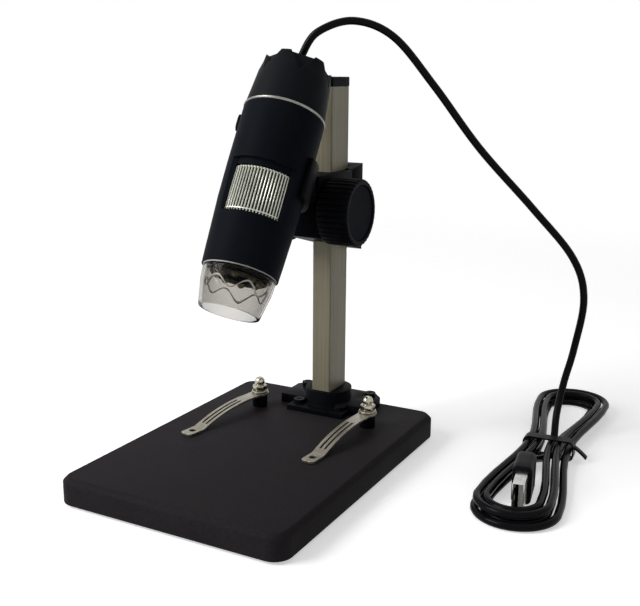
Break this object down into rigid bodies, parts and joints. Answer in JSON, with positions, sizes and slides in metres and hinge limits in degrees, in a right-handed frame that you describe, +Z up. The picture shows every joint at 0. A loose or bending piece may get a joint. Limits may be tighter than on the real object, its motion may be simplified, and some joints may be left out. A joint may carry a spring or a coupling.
{
  "type": "usb digital microscope",
  "caption": "Hand-held digital microscope with focus wheel and clear nose, in a tilting holder on a column stand with spring stage clips and a tied USB cable.",
  "frame": {"origin": "under the middle of the base slab, on the table", "axes": "+Z up, +Y to the column side, +X to the right seen from the front"},
  "size_m": [0.1729, 0.216, 0.1826],
  "materials": {
    "base_black": "satin, fine texture",
    "rubber_black": "matte",
    "stand_black": "satin moulded",
    "scope_black": "gloss moulded",
    "column_metal": "satin, drawn lengthwise",
    "nickel": "bright nickel",
    "spring_steel": "bright spring strip",
    "screw_steel": "black oxide",
    "nylon": "natural nylon",
    "lens_glass": "polished",
    "board_green": "solder mask",
    "board_black": "black solder mask",
    "wheel_silver": "silver coated, ridged",
    "chip_black": "moulded package",
    "led_clear": "clear resin",
    "clear_plastic": "clear moulded",
    "cable_black": "soft gloss jacket",
    "plug_black": "satin overmould",
    "shell_steel": "bright stamped",
    "plug_white": "moulded insulator",
    "contact_gold": "gold flash"
  },
  "bodies": {
    "stand": {"base_plate": "base_black", "base_feet": "rubber_black", "column_foot": "stand_black", "foot_screws": "screw_steel", "column_set_screw": "screw_steel", "column": "column_metal", "column_cap": "stand_black", "clip_spacers": "stand_black", "clip_studs": "nickel", "clip_washers": "nickel", "clip_nuts": "nickel", "usb_cable": "cable_black", "cable_hank": "cable_black", "cable_tie": "cable_black", "plug_body": "plug_black", "plug_shell": "shell_steel", "plug_tongue": "plug_white", "plug_contacts": "contact_gold"},
    "left_clip": {"clip_left": "spring_steel"},
    "right_clip": {"clip_right": "spring_steel"},
    "carriage": {"carriage_body": "stand_black", "carriage_cover": "stand_black", "cover_screws": "screw_steel", "friction_pad": "nylon", "tilt_screw": "screw_steel", "tilt_nut": "nickel"},
    "knobs": {"knob_shaft": "nickel", "friction_roller": "rubber_black", "knob_right": "stand_black", "knob_left": "stand_black", "knob_faces": "stand_black"},
    "holder": {"holder_jaw": "stand_black"},
    "microscope": {"upper_barrel": "scope_black", "lower_barrel": "scope_black", "trim_ring": "nickel", "end_cap": "scope_black", "cable_boot": "rubber_black", "lens_guide": "stand_black", "sensor_board": "board_green", "image_sensor": "chip_black", "button_switch": "chip_black", "led_board": "board_black", "leds": "led_clear", "nose_cover": "clear_plastic", "diffuser_ring": "clear_plastic"},
    "wheel": {"focus_wheel": "wheel_silver"},
    "lens_cell": {"lens_carrier": "stand_black", "front_lens": "lens_glass", "rear_lens": "lens_glass"},
    "button": {"snapshot_button": "scope_black"}
  },
  "joints": [
    {"name": "clip_left_swivel", "type": "hinge", "parent": "stand", "child": "left_clip", "pos_m": [-0.0244, 0.0375, 0.0169], "axis": [0, 0, 1], "range_deg": [-16, 34]},
    {"name": "clip_right_swivel", "type": "hinge", "parent": "stand", "child": "right_clip", "pos_m": [0.0304, 0.0375, 0.0169], "axis": [0, 0, 1], "range_deg": [-21, 29]},
    {"name": "carriage_slide", "type": "slide", "parent": "stand", "child": "carriage", "axis": [0, 0, 1], "range_m": [-0.036, 0.03], "deforming": ["usb_cable"]},
    {"name": "knob_turn", "type": "hinge", "parent": "carriage", "child": "knobs", "pos_m": [0.003, 0.037, 0.1044], "axis": [1, 0, 0], "range_deg": [-206, 247]},
    {"name": "scope_tilt", "type": "hinge", "parent": "carriage", "child": "holder", "pos_m": [0.003, 0.0222, 0.1134], "axis": [-1, 0, 0], "range_deg": [-30.5, 10], "deforming": ["usb_cable"]},
    {"name": "scope_twist", "type": "hinge", "parent": "holder", "child": "microscope", "pos_m": [0.003, 0.01388, 0.14499], "axis": [0, 0.5075, 0.8616], "range_deg": [-25, 25], "deforming": ["usb_cable"]},
    {"name": "focus_turn", "type": "hinge", "parent": "microscope", "child": "wheel", "pos_m": [0.003, 0.01388, 0.14499], "axis": [0, 0.5075, 0.8616], "range_deg": [-153, 153]},
    {"name": "lens_focus", "type": "slide", "parent": "microscope", "child": "lens_cell", "axis": [0, 0.5075, 0.8616], "range_m": [-0.00333, 0.00333]},
    {"name": "snapshot_press", "type": "slide", "parent": "microscope", "child": "button", "axis": [0.9272, 0.3228, -0.1901], "range_m": [0, 0.0006], "stiffness_N_per_m": 400}
  ],
  "couplings": [
    {"joint": "knob_turn", "follows": "carriage_slide", "rad_per_m": -119.05},
    {"joint": "focus_turn", "follows": "lens_focus", "rad_per_m": 785.4}
  ]
}
